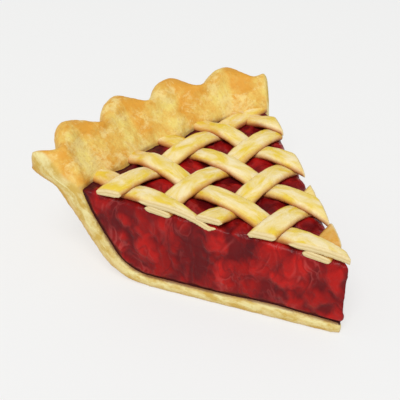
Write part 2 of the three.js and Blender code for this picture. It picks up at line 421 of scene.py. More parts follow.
def spun_section(point_at, columns, rows, steps):
    """Bends a flat grid into a section with `point_at` and spins it through the slice."""
    bm = bmesh.new()
    bmesh.ops.create_grid(bm, x_segments=columns, y_segments=rows, size=1)
    way = Vector((math.cos(right_cut), math.sin(right_cut), 0))
    for vert in bm.verts:
        radius, height = point_at((vert.co.x + 1) / 2, vert.co.y)
        vert.co = way * radius + Vector((0, 0, height))
    bmesh.ops.spin(bm, geom=bm.verts[:] + bm.edges[:] + bm.faces[:], axis=(0, 0, 1),
                   cent=(0, 0, 0), angle=SLICE_ANGLE, steps=steps, use_merge=False)
    bmesh.ops.remove_doubles(bm, verts=bm.verts, dist=1e-3)
    bmesh.ops.recalc_face_normals(bm, faces=bm.faces)
    return bm


def crust_point(along, across):
    if along < 1 - LIP_SHARE:
        return shell_point(along / (1 - LIP_SHARE) * lip_start, across)
    lip_turn = (along - (1 - LIP_SHARE)) / LIP_SHARE * math.pi / 2
    return shell_point(lip_start + RIM_HALF * math.sin(lip_turn) * NEARLY_ALL, across)


crust_bm = spun_section(crust_point, columns=90, rows=6, steps=120)
for vert in crust_bm.verts:
    vert.co = fluted(vert.co)
crust_bm = remeshed(crust_bm, voxel=0.75, smoothing=3)

# %% [markdown]
# ## The crust: finding a point's layer
# The browning and the layers of the crumb follow the sheet of dough, not the room it stands in. So
# one function runs the bending backwards: from a point it finds how far along the sheet it lies and
# how deep in it. A UV map could hold the same, but a remesh does not keep one.

# %% Place of a point in the sheet of dough
def shell_place(point):
    """The distance along the shell, the height above its middle and how far it is to its inner
    side, for any point in or near the shell."""
    share = ramp(point.z, FLUTE_FROM, FLUTE_FULL)
    from_cut = round_from_cut(point)
    at_cut = bump(from_cut, 0, CUT_FLARE_WIDTH)
    radius = from_axis(point) - share * blend(crease_shift(from_cut), flute_shift(from_cut), at_cut)
    radius += slump(point.z, from_cut)
    half = blend(WALL_HALF, RIM_HALF, ramp(point.z, THICKENS_FROM, LEDGE_HEIGHT))
    half += LEDGE * bump(point.z, LEDGE_HEIGHT, LEDGE_WIDTH)
    offset = Vector((radius, point.z)) - bend_top
    centre = Vector((bend_start, base_middle + CORNER_BEND))
    if radius < bend_start:
        run, layer = radius, point.z - base_middle
        half = base_middle + BASE_HUMP * bump(radius, HUMP_RADIUS, HUMP_WIDTH)
    elif offset.dot(up_wall) > 0:
        run, layer = bend_end + offset.dot(up_wall), up_wall.x * offset.y - up_wall.y * offset.x
    else:
        angle = min(max(math.atan2(radius - centre.x, centre.y - point.z), 0), wall_lean)
        run = bend_start + CORNER_BEND * angle
        layer = CORNER_BEND - math.hypot(radius - centre.x, centre.y - point.z)
        half = blend(base_middle, WALL_HALF, angle / wall_lean)
    return run, layer, half - layer


print(f"the rim lies {shell_place(rim_point)[0]:.1f} mm along the sheet")

# %% [markdown]
# ## The top of the filling
# The filling rises gently from the tip to the wall, where a small lip of it climbs the crust. Juice
# stains the dough below that line, so the crust needs it too.

# %% Height of the filling's top
FILLING_TIP_HEIGHT, FILLING_SLOPE = 32.9, 0.0695
FILLING_LIP, LIP_FROM, LIP_TO = 0.8, 98, 106  # a lip of gel, between two radii


def filling_top(radius):
    lip = FILLING_LIP * ramp(radius, LIP_FROM, LIP_TO)
    return FILLING_TIP_HEIGHT + FILLING_SLOPE * radius + lip


print(f"the filling is {filling_top(0):.1f} mm high at the tip, {filling_top(106):.1f} at the wall")

# %% [markdown]
# ## The crust: what the oven, the knife and the juice did, and painted shading
# The oven browns what stands proud, such as the lip, and the outer side. On each flute, shade is
# painted as darker orange on the flank past the crease, and light as paler dough on its other side.
# The knife shows pale crumb inside, and juice stains the dough where the filling lies against it.
# Each of these is a number on the vertices, from 0 to 1, that the material turns into colour. They
# could be painted by hand, but a formula can be changed and run again.

# %% Marks on the crust
CRUST_MARKS = ("cut", "toast_and_painted_shading", "stain", "run", "around", "layer")
TOAST, FLANK_PAINTED_SHADE, LIT_SIDE_PAINTED_PALE = 0.32, 0.28, 0.24  # how browned all over, then painted shade on a flute's flank and painted light on its other side
TOAST_PATCHES, TOAST_LIP, TOAST_OUTSIDE = 0.35, 0.25, 0.2
FLANK_RISE, FLANK_FADE, PAINTED_LIGHT_TURN = 0.35, 1.7, math.radians(92)  # places in the turn of a flute


def crust_cut(point):
    return 1 - ramp(behind_cuts(point), 0.1, 1.0)


def crust_toast_and_shading(point, layer):
    turn = flute_turn(round_from_cut(point))
    past_crease = turn % (2 * math.pi)
    # painted shade: darker orange on the flank just past each crease
    painted_crease_shade = ramp(past_crease, 0.0, FLANK_RISE) * math.exp(-past_crease / FLANK_FADE)
    # painted light: paler dough on the other side of each flute, as if lit
    painted_shading = (0.5 + 0.5 * math.cos(turn + PAINTED_LIGHT_TURN)) ** 3
    toast_and_painted_shading = TOAST + (FLANK_PAINTED_SHADE * painted_crease_shade - LIT_SIDE_PAINTED_PALE * painted_shading) * ramp(point.z, 36, 46)
    toast_and_painted_shading += TOAST_PATCHES * grain(point, 15, 3)
    toast_and_painted_shading += TOAST_LIP * ramp(point.z, 50, 56) + TOAST_OUTSIDE * ramp(-layer, 1, 3)
    return min(max(toast_and_painted_shading, 0.0), 1.0)


marks = new_marks(crust_bm, CRUST_MARKS)
for vert in crust_bm.verts:
    point = vert.co
    radius = from_axis(point)
    run, layer, depth = shell_place(point)
    wet = 1 - ramp(point.z - filling_top(radius), -1.2, 0.2)
    vert[marks["cut"]] = crust_cut(point)
    vert[marks["toast_and_painted_shading"]] = crust_toast_and_shading(point, layer)
    vert[marks["stain"]] = wet * (1 - ramp(depth, 0.1, 0.6))
    vert[marks["run"]] = run * MM
    vert[marks["around"]] = round_from_cut(point) * radius * MM
    vert[marks["layer"]] = layer * MM
browned = sum(vert[marks["toast_and_painted_shading"]] for vert in crust_bm.verts) / len(crust_bm.verts)
print(f"the crust is browned {browned:.2f} on average")

# %% [markdown]
# ## The crust: its grain
# Baked dough swells unevenly, so noise in three sizes moves the skin along its normals, less near
# the clean cuts. There it is smoothed again, because a knife leaves a flat face with a softly
# rounded brink. Nothing may reach below the floor.

# %% Grain of the crust
SWELLS = ((0.45, 13, 1), (0.2, 5, 2), (0.1, 2, 5))  # how high, how wide and the noise's seed
FOOT_FLAT = 3.0  # the swelling begins over this height
CUT_CALM = 0.9  # how much less the dough swells beside a cut
RIM_SWELL = 0.35
CUT_PUSH = 1.2  # makes up for what smoothing takes off the brink
EVERYWHERE = -9
# Which cut, passes of smoothing, how deep behind the cut, and above which height
BRINKS = ((into_left, 16, 3, EVERYWHERE), (into_right, 12, 3, EVERYWHERE), (into_left, 30, 5, 46))

moves = []
for vert in crust_bm.verts:
    point = vert.co
    calm = 1 - ramp(behind_cuts(point), 0.5, 4.0)
    size = sum(high * grain(point, wide, seed) for high, wide, seed in SWELLS)
    size = size * ramp(point.z, 0.0, FOOT_FLAT) * (1 - CUT_CALM * calm)
    size += RIM_SWELL * ramp(point.z, 40, 50) + CUT_PUSH * crust_cut(point)
    moves.append(vert.normal * size)
push_all(crust_bm, moves)
for inward, passes, deep, above in BRINKS:
    brink = [vert for vert in crust_bm.verts if vert.co.dot(inward) < deep and vert.co.z > above]
    smoothed(crust_bm, brink, passes)
for vert in crust_bm.verts:
    vert.co.z = max(vert.co.z, 0)
print(f"the crust is {max(vert.co.z for vert in crust_bm.verts):.1f} mm high")

# %% [markdown]
# ## The finish of the crust: baked short crust
# Short crust is flour and butter, baked matt with a fine sandy grain. It gives the eye soft straw
# yellow that turns golden orange where it browned and where shade is painted on the flutes, a
# darker speckle, and a paler, layered crumb on the cut. A flat colour would look like clay, so
# noises in the real sizes of the blotches, the streaks from rolling and the grains are laid over
# each other.

# %% Baked short crust: golden patches and streaks
PATCH_SIZE, STREAK_SIZE, STREAK_STRETCH = 6, 2.2, 0.3  # millimetres; along the sheet
baked_crust, tree = new_tree("baked_short_crust")
marks = {name: add(tree, "ShaderNodeAttribute", {}, output="Fac", attribute_name=name)
         for name in CRUST_MARKS}
place = add(tree, "ShaderNodeTexCoord", {}, output="Object")
patches = add(tree, "ShaderNodeTexNoise", {
    "Vector": place, "Scale": 1 / (PATCH_SIZE * MM), "Detail": 6.0, "Roughness": 0.68})
sheet = add(tree, "ShaderNodeCombineXYZ", {
    "X": marks["around"], "Y": marks["run"], "Z": marks["layer"]})
sheet = add(tree, "ShaderNodeVectorMath", {
    0: sheet, 1: (1.0, STREAK_STRETCH, 1.0)}, operation="MULTIPLY")
streaks = add(tree, "ShaderNodeTexNoise", {
    "Vector": sheet, "Scale": 1 / (STREAK_SIZE * MM), "Detail": 4.0, "Roughness": 0.6,
    "Distortion": 0.5})
warm = add(tree, "ShaderNodeMath", {
    0: patches, 1: 1.5, 2: marks["toast_and_painted_shading"]}, operation="MULTIPLY_ADD")
warm = add(tree, "ShaderNodeMath", {0: streaks, 1: 0.7, 2: warm}, operation="MULTIPLY_ADD")
golden = add(tree, "ShaderNodeMapRange", {"Value": warm, "From Min": 1.05, "From Max": 1.78})
dough = add(tree, "ShaderNodeMix", {
    "Factor": golden, "A": colour("#e8d071"), "B": colour("#da9c35")}, data_type="RGBA")
print("short crust so far:", len(tree.nodes), "nodes")

# %% [markdown]
# ## The finish of the crust: pale patches and grains
# The heat reaches some patches of dough last, so they stay cream. Grains of flour brown sooner.

# %% Baked short crust: pale patches and grains
PALE_SIZE, GRAIN_SIZE = 8, 1.2
pale = add(tree, "ShaderNodeTexNoise", {
    "Vector": place, "Scale": 1 / (PALE_SIZE * MM), "Detail": 6.0, "Roughness": 0.72,
    "Distortion": 0.4})
pale = add(tree, "ShaderNodeMath", {0: marks["toast_and_painted_shading"], 1: -0.12, 2: pale}, operation="MULTIPLY_ADD")
pale = add(tree, "ShaderNodeMapRange", {
    "Value": pale, "From Min": 0.45, "From Max": 0.55, "To Max": 0.6})
dough = add(tree, "ShaderNodeMix", {
    "Factor": pale, "A": dough, "B": colour("#efda92")}, data_type="RGBA")
grains = add(tree, "ShaderNodeTexNoise", {
    "Vector": place, "Scale": 1 / (GRAIN_SIZE * MM), "Detail": 3.0, "Roughness": 0.6})
speck = add(tree, "ShaderNodeMapRange", {
    "Value": grains, "From Min": 0.52, "From Max": 0.75, "To Max": 0.4})
dough = add(tree, "ShaderNodeMix", {
    "Factor": speck, "A": dough, "B": colour("#bd8434")}, data_type="RGBA")
print("short crust so far:", len(tree.nodes), "nodes")

# %% [markdown]
# ## The finish of the crust: the cut crumb
# Where the knife went through, the crumb is pale in the middle and browned towards the outer skin,
# and the streaks of rolling show as layers. Below the top of the filling juice has stained the
# inner side dark. A fine bump of grains and streaks breaks up the light.

# %% Baked short crust: crumb, juice and surface
crumb = add(tree, "ShaderNodeMath", {0: streaks, 1: patches}, operation="ADD")
crumb = add(tree, "ShaderNodeMapRange", {"Value": crumb, "From Min": 0.86, "From Max": 1.14})
crumb = add(tree, "ShaderNodeMix", {
    "Factor": crumb, "A": colour("#c6a44c"), "B": colour("#e2d698")}, data_type="RGBA")
outer = add(tree, "ShaderNodeMapRange", {
    "Value": marks["layer"], "From Min": 0.5 * MM, "From Max": -4 * MM, "To Max": 0.8})
outer = add(tree, "ShaderNodeMath", {0: patches, 1: 1.6, 2: outer}, operation="MULTIPLY_ADD")
outer = add(tree, "ShaderNodeMapRange", {"Value": outer, "From Min": 0.8, "From Max": 1.9})
crumb = add(tree, "ShaderNodeMix", {
    "Factor": outer, "A": crumb, "B": colour("#c98e36")}, data_type="RGBA")
juice = add(tree, "ShaderNodeMath", {0: marks["stain"], 1: 0.75}, operation="MULTIPLY")
for share, over in ((marks["cut"], crumb), (juice, colour("#6c2c2c"))):
    dough = add(tree, "ShaderNodeMix", {"Factor": share, "A": dough, "B": over}, data_type="RGBA")
relief = add(tree, "ShaderNodeMath", {0: streaks, 1: 0.3, 2: grains}, operation="MULTIPLY_ADD")
normal = add(tree, "ShaderNodeBump", {"Height": relief, "Distance": 0.5 * MM, "Strength": 0.5})
shade = add(tree, "ShaderNodeBsdfPrincipled", {
    "Base Color": dough, "Roughness": 0.6, "Specular IOR Level": 0.3, "Normal": normal})
add(tree, "ShaderNodeOutputMaterial", {"Surface": shade})
finished_piece("crust_shell", crust_bm, baked_crust, "crust")

# %% [markdown]
# ## The lattice: how it is woven
# Five strips run each way, cut from rolled dough, and each passes over one neighbour and under the
# next. It could be modelled by hand, but a formula for a strip's lift does it for all ten: it arches
# over one crossing and sinks into the filling at the next. At the rim its end runs level into the
# wall of the crust.

# %% Weave of the lattice
STRIP_SPACING, STRIP_WIDTH, STRIP_THICKNESS, STRIP_EDGE = 19.43, 10.4, 2.9, 1.4
STRIP_SINK, STRIP_LIFT, STRIP_ARCH = 2.9, 4.1, 2.4  # the arch is a power: 2 is round, 4 is flat
END_LIFT, END_FROM, END_TO = 0.6, 93, 106  # the lift at the wall, and between which radii
STRIPS_EACH_WAY = 5
LATTICE_TURN = math.radians(10)
FIRST_LONG, FIRST_CROSS = 21.08, 89.05
LONG_SEED, CROSS_SEED = 0.5, 7.5
long_way = Vector((-math.sin(LATTICE_TURN), math.cos(LATTICE_TURN), 0))
cross_way = Vector((-long_way.y, long_way.x, 0))


class Strip:
    """One strip of the lattice: which way it runs, its place, and one crossing where it is on top."""

    def __init__(self, name, number, is_long):
        order = number - 1
        first, self.way, self.side = (
            (FIRST_LONG, long_way, cross_way) if is_long else (FIRST_CROSS, cross_way, long_way))
        self.name, self.seed = name, number + (LONG_SEED if is_long else CROSS_SEED)
        self.place = first - STRIP_SPACING * order
        if is_long:
            self.over = FIRST_CROSS - STRIP_SPACING * ((order + 1) % 2)
        else:
            self.over = FIRST_LONG - STRIP_SPACING * (order % 2)

    def lift(self, along):
        pair = 2 * STRIP_SPACING
        away = abs(along - self.over - pair * round((along - self.over) / pair))
        return STRIP_LIFT * (1 - (away / STRIP_SPACING) ** STRIP_ARCH)

    def bottom(self, point, along):
        radius = from_axis(point)
        lift = blend(self.lift(along), END_LIFT, ramp(radius, END_FROM, END_TO))
        return filling_top(radius) + lift - STRIP_SINK


strips = [Strip(f"{kind}_strip_{number}", number, kind == "long")
          for kind in ("long", "cross") for number in range(1, STRIPS_EACH_WAY + 1)]
print("strips:", ", ".join(f"{strip.name} at {strip.place:.1f}" for strip in strips))

# %% [markdown]
# ## The filling: a block of gel
# The filling is whole cherries that baked until they slumped, packed in thickened juice. The juice
# is one block, spun like the crust from a section that fills the shell. It reaches a little into
# the dough, because the two are baked together and no gap may show.

# %% Block of gel
GEL_IN_SHELL = 0.4  # the gel ends here across the shell: its middle is 0, its inner side 1
GEL_END = 15  # the gel's section ends this far along the sheet before the lip
GEL_BELOW_TOP = 0.6


def filling_point(along, up):
    """The gel's section: columns that stand in the shell and reach up to the top."""
    along = min(along, NEARLY_ALL)
    wall_end = lip_start - GEL_END
    foot = shell_point(along * wall_end, GEL_IN_SHELL)
    head_radius = along * shell_point(wall_end, GEL_IN_SHELL).x
    head = Vector((head_radius, filling_top(head_radius) - GEL_BELOW_TOP))
    return foot.lerp(head, (up + 1) / 2)


gel_bm = remeshed(spun_section(filling_point, columns=70, rows=12, steps=70), voxel=0.7)

# %% [markdown]
# ## The filling: the cherries
# Pitted, baked cherries lie as close as they will go. A sculpt of them would take hours, so their
# hearts are scattered through the gel with a fixed seed, never closer together than a small baked
# cherry is wide. A tree of places then finds the nearest hearts to any point quickly.

# %% Hearts of the cherries
CHERRY_SPACING, CHERRY_TRIES, CHERRY_SEED = 9.0, 8000, 17
CHERRY_SMALL, CHERRY_LARGE = 4.6, 7.2
SCATTER_RADIUS, SCATTER_PAST_CUTS, SCATTER_LOW, SCATTER_HIGH = 114, 0.2, 3, 44

rng = random.Random(CHERRY_SEED)
hearts = []
for _ in range(CHERRY_TRIES):
    radius = SCATTER_RADIUS * math.sqrt(rng.random())
    angle = rng.uniform(right_cut - SCATTER_PAST_CUTS, left_cut + SCATTER_PAST_CUTS)
    height = rng.uniform(SCATTER_LOW, SCATTER_HIGH)
    heart = Vector((radius * math.cos(angle), radius * math.sin(angle), height))
    if all((heart - other).length > CHERRY_SPACING for other in hearts):
        hearts.append(heart)
sizes = [rng.uniform(CHERRY_SMALL, CHERRY_LARGE) for _ in hearts]
tints = [rng.random() for _ in hearts]
finder = kdtree.KDTree(len(hearts))
for number, heart in enumerate(hearts):
    finder.insert(heart, number)
finder.balance()
print(len(hearts), "cherries in and round the slice")

# %% [markdown]
# ## The filling: how near the fruit is
# Slumping has pulled the cherries out of round. So each point is first carried off by a swirl of
# noise, more sideways than up and down, and only then asks how near it is to the closest heart.

# %% Nearest fruit
SWIRL_SIZE, SWIRL_DEPTH = 13, 3
SWIRL_PUSH = Vector((6.5, 6.5, 4.0))
FRUIT_TALL = 0.7  # a cherry reaches further up and down than sideways
FRUIT_FULL, FRUIT_END = 0.3, 1.3  # in sizes of the cherry
noise.seed_set(3)  # vector noise is seeded by the clock unless this is given


def nearest_fruit(point):
    """How much a point lies in a cherry, from 0 to 1, and the tint of that cherry."""
    swirl = noise.turbulence_vector(point / SWIRL_SIZE, SWIRL_DEPTH, False)
    slumped = point + swirl * SWIRL_PUSH
    fruit, tint = 0.0, 0.0
    for heart, number, _ in finder.find_n(slumped, 3):
        away = slumped - heart
        away.z *= FRUIT_TALL
        near = 1 - ramp(away.length / sizes[number], FRUIT_FULL, FRUIT_END)
        if near > fruit:
            fruit, tint = near, tints[number]
    return fruit, tint


print("fruit and tint at a heart:", [round(value, 2) for value in nearest_fruit(hearts[0])])

# %% [markdown]
# ## The filling: its skin
# The fruit stands proud of the gel, on the top and on the cut faces alike. Near the crust the gel
# dried to a sunken rind. The brink between the top and a cut is rounded, as gel flows a little
# after the knife. One pass over the vertices moves them and stores the marks.

# %% Skin of the filling
PROUD_TOP, PROUD_CUT = 1.3, 1.1  # how far the fruit stands out on the top and on a cut
GEL_SUNK, RIND_SUNK, GEL_GRAIN = 0.25, 0.4, 0.16
BRINK_REACH, BRINK_ROUND = 3.5, 1.1
# how dark the painted shade on the gel's top near the wall is, as a share of the rind's colour
RIND_PAINTED_SHADE = 0.8
GEL_MARKS = ("fruit", "tint", "rind", "cloud")


def below_top(point):
    return filling_top(from_axis(point)) - point.z


marks = new_marks(gel_bm, GEL_MARKS)
moves = []
for vert in gel_bm.verts:
    point = vert.co
    fruit, tint = nearest_fruit(point)
    from_crust = -shell_place(point)[2]
    behind, below = behind_cuts(point), below_top(point) - GEL_BELOW_TOP
    rind = 1 - ramp(from_crust, 0.4, 2.2)
    # painted shade: the top of the gel is darkened within a few millimetres of the wall
    painted_shading = (1 - ramp(below, 0.5, 2.0)) * (1 - ramp(from_crust, 1.0, 6.0))
    vert[marks["fruit"]], vert[marks["tint"]] = fruit, tint
    vert[marks["cloud"]] = 0.5 + 0.5 * grain(point, 16, 8)
    # the rind mark holds the dried rind and this painted shade
    vert[marks["rind"]] = max(rind, RIND_PAINTED_SHADE * painted_shading)
    on_cut = 1 - ramp(behind, 0.3, 1.5)
    proud = blend(PROUD_TOP, PROUD_CUT, on_cut) * fruit * (1 - rind) - GEL_SUNK - RIND_SUNK * rind
    rounded = max(1 - behind / BRINK_REACH, 0) ** 2 * max(1 - below / BRINK_REACH, 0) ** 2
    moves.append(vert.normal * (proud + GEL_GRAIN * grain(point, 3.0, 4) - rounded * BRINK_ROUND))
push_all(gel_bm, moves)
brink = [vert for vert in gel_bm.verts if behind_cuts(vert.co) < 4 and below_top(vert.co) < 5]
smoothed(gel_bm, brink, 8)
print(f"{len(brink)} vertices of the brink are smoothed")

# %% [markdown]
# ## The filling: pressed by the strips
# The strips sank into the soft filling before it set. A boolean would cut a sharp trench, so the
# gel is pressed down softly to their undersides, and no fruit pokes through the dough.

# %% Beds of the strips
BED_RISE = 1.0  # the bed reaches this far up into the strip
BED_SOFT = 1.5  # and fades this far inside the strip's side
for vert in gel_bm.verts:
    for strip in strips:
        across = abs(vert.co.dot(strip.side) - strip.place)
        if across < STRIP_WIDTH / 2:
            bed = strip.bottom(vert.co, vert.co.dot(strip.way)) + BED_RISE
            held = 1 - ramp(across, STRIP_WIDTH / 2 - BED_SOFT, STRIP_WIDTH / 2)
            vert.co.z -= held * max(vert.co.z - bed, 0)
print(f"the filling is {max(vert.co.z for vert in gel_bm.verts):.1f} mm high")

# %% [markdown]
# ## The finish of the filling: set cherry gel
# Thickened cherry juice is clear, dark red and wet, with fruit that keeps a brighter red. It gives
# the eye saturated reds and near-black hollows. Glass with a red volume would be the truest, but it
# is slow and does not export, so colour stands in for depth: fruit near the skin is bright, the
# gel between is deep, and fibres of the fruit run through both.

# %% Set cherry gel: fruit and depth
FIBRE_SIZE, FIBRE_DRAWN = 4.5, 0.6  # millimetres apart, drawn out downwards as the fruit slumped
cherry_gel, tree = new_tree("set_cherry_gel")
marks = {name: add(tree, "ShaderNodeAttribute", {}, output="Fac", attribute_name=name)
         for name in GEL_MARKS}
place = add(tree, "ShaderNodeTexCoord", {}, output="Object")
drawn = add(tree, "ShaderNodeMapping", {"Vector": place, "Scale": (1.0, 1.0, FIBRE_DRAWN)})
fibres = add(tree, "ShaderNodeTexNoise", {
    "Vector": drawn, "Scale": 1 / (FIBRE_SIZE * MM), "Detail": 3.0, "Roughness": 0.5,
    "Distortion": 0.6})
body = add(tree, "ShaderNodeMath", {0: fibres, 1: 1.8, 2: -0.95}, operation="MULTIPLY_ADD")
body = add(tree, "ShaderNodeMath", {0: marks["fruit"], 1: body}, operation="ADD", use_clamp=True)
flesh = add(tree, "ShaderNodeMix", {
    "Factor": marks["tint"], "A": colour("#900f0c"), "B": colour("#b61a16")}, data_type="RGBA")
deep = add(tree, "ShaderNodeMix", {
    "Factor": marks["cloud"], "A": colour("#4a0b10"), "B": colour("#7c0e10")}, data_type="RGBA")
red = add(tree, "ShaderNodeMix", {"Factor": body, "A": deep, "B": flesh}, data_type="RGBA")
print("cherry gel so far:", len(tree.nodes), "nodes")

# %% [markdown]
# ## The finish of the filling: folds, rind and gloss
# Where folds of fruit meet the cut, a thin pale line is painted as a highlight on the fold, with
# painted shade in the dark hollow beside it. Both come from one noise: the line is where it crosses
# its middle value, the hollow where it crosses a higher one. Against the crust the gel dried to a
# dark rind, and its top near the wall is painted dark as shade. The skin is wet, so its roughness
# is low, but starch and a fine bump keep the highlights small and soft.

# %% Set cherry gel: folds, rind and surface
FOLD_SIZE = 11
FOLD_LINES = ((0.5, 0.045, 0.8), (0.56, 0.06, 0.34))  # where, how wide and how strong: the painted highlight, then the painted shade
folds = add(tree, "ShaderNodeTexNoise", {
    "Vector": drawn, "Scale": 1 / (FOLD_SIZE * MM), "Detail": 2.0, "Distortion": 1.3})
lines = []
for middle, width, strength in FOLD_LINES:
    line = add(tree, "ShaderNodeMath", {0: folds, 1: middle}, operation="SUBTRACT")
    line = add(tree, "ShaderNodeMath", {0: line}, operation="ABSOLUTE")
    lines.append(add(tree, "ShaderNodeMapRange", {"Value": line, "From Min": 0.0, "From Max": width,
                                                  "To Min": strength, "To Max": 0.0}))
ridge, painted_hollow_shade = lines
patchy = add(tree, "ShaderNodeMapRange", {
    "Value": marks["cloud"], "From Min": 0.46, "From Max": 0.72, "To Max": 0.5})
painted_highlight = add(tree, "ShaderNodeMath", {0: ridge, 1: patchy}, operation="MULTIPLY")
# painted shade in the hollows, a painted highlight on the fold ridges, then the rind with painted
# shade near the wall
for share, over in ((painted_hollow_shade, "#470f14"), (painted_highlight, "#b0504c"), (marks["rind"], "#3c0c14")):
    red = add(tree, "ShaderNodeMix", {
        "Factor": share, "A": red, "B": colour(over)}, data_type="RGBA")
relief = add(tree, "ShaderNodeMath", {0: ridge, 1: 0.06, 2: fibres}, operation="MULTIPLY_ADD")
normal = add(tree, "ShaderNodeBump", {"Height": relief, "Distance": 1.2 * MM, "Strength": 0.8})
shade = add(tree, "ShaderNodeBsdfPrincipled", {
    "Base Color": red, "Roughness": 0.34, "Specular IOR Level": 0.13, "Normal": normal})
add(tree, "ShaderNodeOutputMaterial", {"Surface": shade})
finished_piece("cherry_filling", gel_bm, cherry_gel, "filling")

# %% [markdown]
# ## The finish of the strips: baked strip dough
# The strips are the same dough as the shell, but rolled thin, brushed with butter and baked in the
# open. They give the eye a satin cream with buttery yellow streaks along each strip, orange where
# the oven caught them and where shade is painted, and a brown line low on their sides: part
# browning, part painted shadow where they meet the filling. The streaks follow the strip, because
# a pattern in room space would cut straight through the weave.

# %% Baked strip dough: butter, toast with painted shade, and sides
BUTTER_SIZE, BUTTER_STRETCH, CRUMB_SIZE = 5, 0.45, 1.1  # millimetres; along the strip
# the toast mark also holds painted shading; the edge mark is a brown line low on the sides, part
# browning and part painted shadow
STRIP_MARKS = ("toast_and_painted_shading", "cut", "edge", "level", "along", "aside")
baked_strip, tree = new_tree("baked_strip_dough")
marks = {name: add(tree, "ShaderNodeAttribute", {}, output="Fac", attribute_name=name)
         for name in STRIP_MARKS}
place = add(tree, "ShaderNodeTexCoord", {}, output="Object")
drawn = add(tree, "ShaderNodeCombineXYZ", {"X": marks["along"], "Y": marks["aside"]})
drawn = add(tree, "ShaderNodeVectorMath", {
    0: drawn, 1: (BUTTER_STRETCH, 1.0, 1.0)}, operation="MULTIPLY")
patches = add(tree, "ShaderNodeTexNoise", {
    "Vector": drawn, "Scale": 1 / (BUTTER_SIZE * MM), "Detail": 5.0, "Roughness": 0.6,
    "Distortion": 0.6})
butter = add(tree, "ShaderNodeMapRange", {"Value": patches, "From Min": 0.38, "From Max": 0.62})
dough = add(tree, "ShaderNodeMix", {
    "Factor": butter, "A": colour("#f2e1b0"), "B": colour("#e6c741")}, data_type="RGBA")
grains = add(tree, "ShaderNodeTexNoise", {
    "Vector": place, "Scale": 1 / (CRUMB_SIZE * MM), "Detail": 3.0})
orange_toast_and_shade = add(tree, "ShaderNodeMath", {
    0: grains, 1: 0.5, 2: marks["toast_and_painted_shading"]}, operation="MULTIPLY_ADD")
orange_toast_and_shade = add(tree, "ShaderNodeMapRange", {
    "Value": orange_toast_and_shade, "From Min": 0.5, "From Max": 1.35, "To Max": 0.9})
# orange where toasted and where shade is painted, then the edge's brown: part browning, part painted
# shadow
for share, over in ((orange_toast_and_shade, "#cf9030"), (marks["edge"], "#a0562a")):
    dough = add(tree, "ShaderNodeMix", {
        "Factor": share, "A": dough, "B": colour(over)}, data_type="RGBA")
print("strip dough so far:", len(tree.nodes), "nodes")

# %% [markdown]
# ## The finish of the strips: their cut ends
# The knife shows pale crumb at the ends, with the two or three thin layers that rolling leaves.
# A sine of the height in the strip draws them, and the grains make them waver.

# %% Baked strip dough: cut ends and surface
LAYERS = 14.0  # radians of the sine through the strip, a little over two layers
LAYERS_WAVER = 3.0
sheets = add(tree, "ShaderNodeMath", {0: marks["level"], 1: LAYERS}, operation="MULTIPLY")
sheets = add(tree, "ShaderNodeMath", {
    0: grains, 1: LAYERS_WAVER, 2: sheets}, operation="MULTIPLY_ADD")
sheets = add(tree, "ShaderNodeMath", {0: sheets}, operation="SINE")
sheets = add(tree, "ShaderNodeMapRange", {"Value": sheets, "From Min": -1.0, "From Max": 1.0})
crumb = add(tree, "ShaderNodeMix", {
    "Factor": sheets, "A": colour("#d2b980"), "B": colour("#e0cc98")}, data_type="RGBA")
dough = add(tree, "ShaderNodeMix", {
    "Factor": marks["cut"], "A": dough, "B": crumb}, data_type="RGBA")
normal = add(tree, "ShaderNodeBump", {"Height": grains, "Distance": 0.4 * MM, "Strength": 0.5})
shade = add(tree, "ShaderNodeBsdfPrincipled", {
    "Base Color": dough, "Roughness": 0.5, "Specular IOR Level": 0.35, "Normal": normal})
add(tree, "ShaderNodeOutputMaterial", {"Surface": shade})
print("strip dough is done:", len(tree.nodes), "nodes")

# %% [markdown]
# ## The strips: a straight ribbon
# A strip is a ribbon of rolled dough with soft edges and a slightly raised middle. A bevelled curve
# would do, but its section would turn in the weave. So a grid is shaped into the section and swept
# straight, with a spin through no angle.

# %% Straight ribbon
STRIP_CROWN, CROWN_LEVEL = 0.8, 0.35  # how much higher the middle of a strip is than its sides
EDGE_ROUND = 0.8  # the share of the edge's radius that is taken off the sides
RIBBON_LENGTH = 250


def straight_ribbon(length, columns=10, rows=4, steps=110):
    """A ribbon with a rounded section across X and Z, swept along Y and centred on the origin."""
    bm = bmesh.new()
    bmesh.ops.create_grid(bm, x_segments=columns, y_segments=rows, size=1)
    for vert in bm.verts:
        side = vert.co.x * STRIP_WIDTH / 2
        past = max(abs(side) - (STRIP_WIDTH / 2 - STRIP_EDGE), 0) / STRIP_EDGE
        taken = STRIP_EDGE * EDGE_ROUND * (1 - math.sqrt(max(1 - past * past, 0)))
        crown = STRIP_CROWN * (CROWN_LEVEL - (2 * side / STRIP_WIDTH) ** 2) * ramp(vert.co.y, -1, 1)
        half = STRIP_THICKNESS / 2 - taken
        vert.co = Vector((side, -length / 2, vert.co.y * half + crown))
    bmesh.ops.spin(bm, geom=bm.verts[:] + bm.edges[:] + bm.faces[:], axis=(0, 0, 1),
                   cent=(0, 0, 0), dvec=(0, length / steps, 0), angle=0, steps=steps,
                   use_merge=False)
    bmesh.ops.recalc_face_normals(bm, faces=bm.faces)
    return bm


trial = straight_ribbon(RIBBON_LENGTH)
print(f"a ribbon has {len(trial.verts)} vertices and holds {trial.calc_volume():.0f} mm3")
trial.free()

# %% [markdown]
# ## The strips: laid in the weave and cut
# The formula of the weave lays a ribbon along its way. No hand cuts a strip quite straight, so a
# little noise widens and bends it. Its ends are drawn back into the wall, and two bisections cut
# it where the knife did, a little proud of the softer filling.

# %% Laid in the weave and cut
TUCK_RADIUS = 110.5  # the strips end inside the wall of the crust
WIDTH_WAVER, SIDE_WAVER = 0.05, 0.25
CUT_PROUD = 0.3


